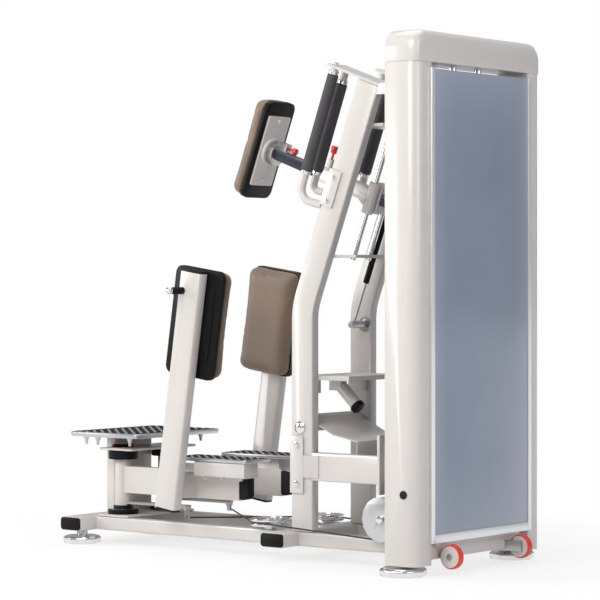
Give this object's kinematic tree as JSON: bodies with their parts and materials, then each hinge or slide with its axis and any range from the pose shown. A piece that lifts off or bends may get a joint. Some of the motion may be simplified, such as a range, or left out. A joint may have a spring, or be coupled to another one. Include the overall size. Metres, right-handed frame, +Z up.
{
  "type": "hip abductor machine",
  "caption": "Standing hip abductor machine with swinging thigh pads, foot plates, sliding chest pad, hand grips and a shielded weight stack tower.",
  "frame": {"origin": "on the floor, at the middle of the machine's length and width", "axes": "+X towards the weight tower, +Y to the far side, +Z up"},
  "size_m": [1.765, 0.81, 1.795],
  "materials": {
    "frame_white": "gloss powder coat",
    "chrome": "polished",
    "steel": "machined",
    "aluminium": "satin",
    "grip_rubber": "foam",
    "black_plastic": "matte",
    "black_steel": "gloss",
    "tan_leather": "grained",
    "cable_black": "smooth sheath",
    "wheel_red": "matte",
    "knob_red": "gloss",
    "shield_blue": "gloss",
    "plate_iron": "painted",
    "bar_blue_grey": "satin"
  },
  "bodies": {
    "machine": {"base_frame": "frame_white", "column_frame": "frame_white", "mid_beams": "frame_white", "tower_frame": "frame_white", "tower_hood": "frame_white", "pivot_frame": "frame_white", "arch_cover": "frame_white", "near_handle": "frame_white", "far_handle": "frame_white", "near_rear_foot": "chrome", "far_rear_foot": "chrome", "near_front_foot": "chrome", "far_front_foot": "chrome", "near_guide_rod": "chrome", "far_guide_rod": "chrome", "near_weight_rod": "chrome", "far_weight_rod": "chrome", "near_pivot_axle": "steel", "far_pivot_axle": "steel", "strut_rod": "steel", "step_plate": "aluminium", "shield_trim": "aluminium", "near_outer_grip": "grip_rubber", "near_inner_grip": "grip_rubber", "far_outer_grip": "grip_rubber", "far_inner_grip": "grip_rubber", "near_cable": "cable_black", "far_cable": "cable_black", "front_shield": "shield_blue", "resting_plates": "plate_iron"},
    "near_arm": {"near_swing_arm": "frame_white", "near_foot_plate": "aluminium"},
    "far_arm": {"far_swing_arm": "frame_white", "far_foot_plate": "aluminium"},
    "near_pad": {"near_pad_board": "black_plastic", "near_pad_cushion": "tan_leather"},
    "far_pad": {"far_pad_board": "black_plastic", "far_pad_cushion": "tan_leather"},
    "near_pin": {"near_pad_pin": "chrome"},
    "far_pin": {"far_pad_pin": "chrome"},
    "near_guide_wheel": {"near_guide_pulley": "aluminium"},
    "far_guide_wheel": {"far_guide_pulley": "aluminium"},
    "near_base_wheel": {"near_base_pulley": "aluminium"},
    "far_base_wheel": {"far_base_pulley": "aluminium"},
    "near_top_wheel": {"near_top_pulley": "aluminium"},
    "far_top_wheel": {"far_top_pulley": "aluminium"},
    "weight": {"lifted_plates": "plate_iron"},
    "selector": {"selector_pin": "knob_red"},
    "near_roller": {"near_wheel": "wheel_red"},
    "far_roller": {"far_wheel": "wheel_red"},
    "carriage": {"carriage_block": "frame_white", "strut_cylinder": "black_steel"},
    "arm_slider": {"chest_arm": "bar_blue_grey"},
    "chest_pad": {"swivel_plate": "frame_white", "chest_board": "black_plastic", "chest_cushion": "tan_leather"},
    "lock_pin": {"chest_lock_pin": "knob_red"},
    "swivel_lock": {"swivel_pin": "knob_red"}
  },
  "joints": [
    {"name": "weight_lift", "type": "slide", "parent": "machine", "child": "weight", "axis": [0, 0, 1], "range_m": [0, 0.25], "deforming": ["near_cable", "far_cable"]},
    {"name": "near_arm_swing", "type": "hinge", "parent": "machine", "child": "near_arm", "pos_m": [-0.6945, -0.12, 0.187], "axis": [0, 0, -1], "range_deg": [0, 45]},
    {"name": "far_arm_swing", "type": "hinge", "parent": "machine", "child": "far_arm", "pos_m": [-0.6945, 0.12, 0.187], "axis": [0, 0, 1], "range_deg": [0, 45]},
    {"name": "near_pad_height", "type": "slide", "parent": "near_arm", "child": "near_pad", "axis": [0.1461, 0, 0.9893], "range_m": [-0.15, 0.05]},
    {"name": "far_pad_height", "type": "slide", "parent": "far_arm", "child": "far_pad", "axis": [0.1461, 0, 0.9893], "range_m": [-0.15, 0.05]},
    {"name": "near_pad_pin_pull", "type": "slide", "parent": "near_arm", "child": "near_pin", "axis": [0, -1, 0], "range_m": [0, 0.01], "stiffness_N_per_m": 400},
    {"name": "far_pad_pin_pull", "type": "slide", "parent": "far_arm", "child": "far_pin", "axis": [0, 1, 0], "range_m": [0, 0.01], "stiffness_N_per_m": 400},
    {"name": "near_guide_pulley_spin", "type": "hinge", "parent": "machine", "child": "near_guide_wheel", "pos_m": [0.0325, -0.158, 0.124], "axis": [0, 0, -1], "range_deg": [0, 221]},
    {"name": "far_guide_pulley_spin", "type": "hinge", "parent": "machine", "child": "far_guide_wheel", "pos_m": [0.0325, 0.158, 0.112], "axis": [0, 0, 1], "range_deg": [0, 221]},
    {"name": "near_base_pulley_spin", "type": "hinge", "parent": "machine", "child": "near_base_wheel", "pos_m": [0.5655, -0.223, 0.168], "axis": [0, 1, 0], "range_deg": [0, 202]},
    {"name": "far_base_pulley_spin", "type": "hinge", "parent": "machine", "child": "far_base_wheel", "pos_m": [0.5655, 0.223, 0.168], "axis": [0, 1, 0], "range_deg": [0, 202]},
    {"name": "near_top_pulley_spin", "type": "hinge", "parent": "machine", "child": "near_top_wheel", "pos_m": [0.695, -0.223, 1.52], "axis": [0, -1, 0], "range_deg": [0, 245]},
    {"name": "far_top_pulley_spin", "type": "hinge", "parent": "machine", "child": "far_top_wheel", "pos_m": [0.695, 0.223, 1.52], "axis": [0, -1, 0], "range_deg": [0, 245]},
    {"name": "selector_pin_pull", "type": "slide", "parent": "weight", "child": "selector", "axis": [-1, 0, 0], "range_m": [0, 0.1]},
    {"name": "near_wheel_spin", "type": "hinge", "parent": "machine", "child": "near_roller", "pos_m": [0.8415, -0.208, 0.06], "axis": [0, 1, 0], "continuous": true},
    {"name": "far_wheel_spin", "type": "hinge", "parent": "machine", "child": "far_roller", "pos_m": [0.8415, 0.208, 0.06], "axis": [0, 1, 0], "continuous": true},
    {"name": "carriage_height", "type": "slide", "parent": "machine", "child": "carriage", "axis": [0.3486, 0, 0.9373], "range_m": [-0.09, 0.1]},
    {"name": "chest_arm_slide", "type": "slide", "parent": "carriage", "child": "arm_slider", "axis": [-0.9373, 0, 0.3486], "range_m": [-0.06, 0.08]},
    {"name": "chest_pad_swivel", "type": "hinge", "parent": "arm_slider", "child": "chest_pad", "pos_m": [-0.0625, 0, 1.4247], "axis": [0.9373, 0, -0.3486], "range_deg": [-90, 90]},
    {"name": "chest_lock_pin_pull", "type": "slide", "parent": "carriage", "child": "lock_pin", "axis": [0.3486, 0, 0.9373], "range_m": [0, 0.008], "stiffness_N_per_m": 400},
    {"name": "swivel_pin_pull", "type": "slide", "parent": "arm_slider", "child": "swivel_lock", "axis": [0.9373, 0, -0.3486], "range_m": [0, 0.008], "stiffness_N_per_m": 400}
  ],
  "couplings": [
    {"joint": "near_arm_swing", "follows": "weight_lift", "rad_per_m": 3.14},
    {"joint": "far_arm_swing", "follows": "weight_lift", "rad_per_m": 3.14},
    {"joint": "near_guide_pulley_spin", "follows": "weight_lift", "rad_per_m": 15.385},
    {"joint": "far_guide_pulley_spin", "follows": "weight_lift", "rad_per_m": 15.385},
    {"joint": "near_base_pulley_spin", "follows": "weight_lift", "rad_per_m": 14.085},
    {"joint": "far_base_pulley_spin", "follows": "weight_lift", "rad_per_m": 14.085},
    {"joint": "near_top_pulley_spin", "follows": "weight_lift", "rad_per_m": 17.094},
    {"joint": "far_top_pulley_spin", "follows": "weight_lift", "rad_per_m": 17.094}
  ]
}
